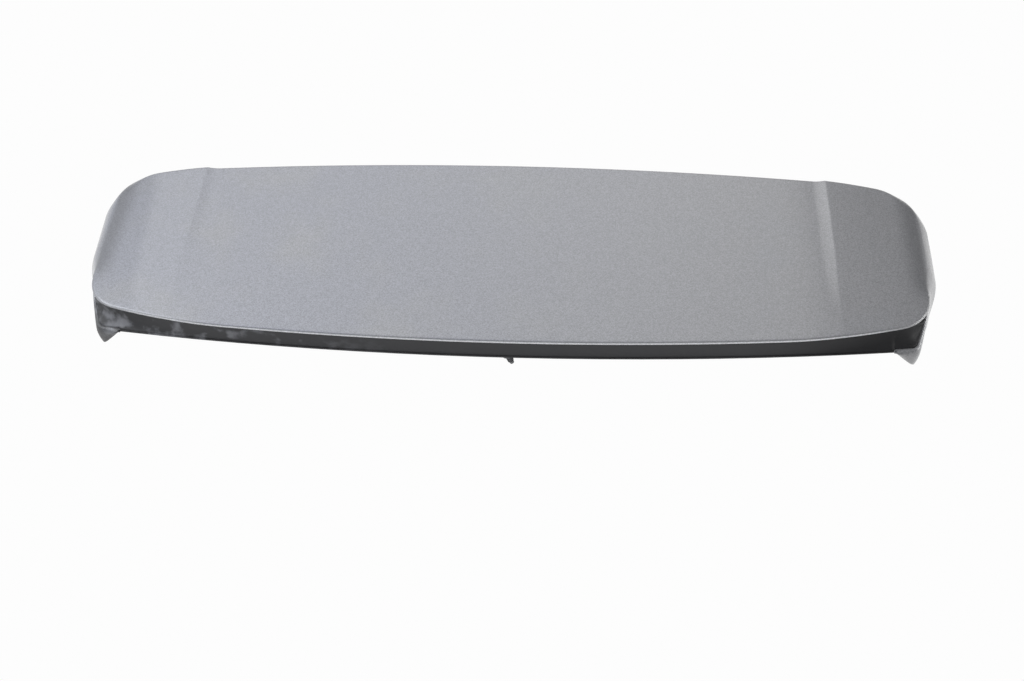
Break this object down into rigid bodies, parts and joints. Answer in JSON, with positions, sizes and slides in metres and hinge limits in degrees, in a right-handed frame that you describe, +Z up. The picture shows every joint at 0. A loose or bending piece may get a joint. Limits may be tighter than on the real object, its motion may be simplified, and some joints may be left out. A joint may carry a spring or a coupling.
{
  "type": "car tailgate spoiler",
  "caption": "Rear roof spoiler for a car tailgate: wide painted skin with rounded corners and two short fins over a black lower shell with mounting studs.",
  "frame": {"origin": "middle of the outline, on the plane of the fin tips and stud ends", "axes": "+X across the car to the viewer's right from behind, +Y towards the front of the car, +Z up"},
  "size_m": [1.215, 0.3514, 0.088],
  "materials": {
    "paint": "metallic grey paint with clear coat",
    "black_plastic": "black, satin",
    "seal_rubber": "matt",
    "pad_foam": "foam",
    "clip_steel": "phosphated spring steel",
    "stud_steel": "zinc plated",
    "washer_foam": "closed-cell foam",
    "screw_steel": "black plated",
    "clip_nylon": "grey nylon"
  },
  "bodies": {
    "root": {"outer_skin": "paint", "lower_shell": "black_plastic", "front_seal": "seal_rubber", "fin_pad_left": "pad_foam", "fin_clip_left": "clip_steel", "stud_rear_left": "stud_steel", "seal_washer_rear_left": "washer_foam", "stud_front_left": "stud_steel", "seal_washer_front_left": "washer_foam", "fin_pad_right": "pad_foam", "fin_clip_right": "clip_steel", "stud_rear_right": "stud_steel", "seal_washer_rear_right": "washer_foam", "stud_front_right": "stud_steel", "seal_washer_front_right": "washer_foam", "screw_1": "screw_steel", "screw_2": "screw_steel", "screw_3": "screw_steel", "screw_4": "screw_steel", "screw_5": "screw_steel", "screw_6": "screw_steel", "centre_clip": "clip_nylon"}
  },
  "joints": []
}
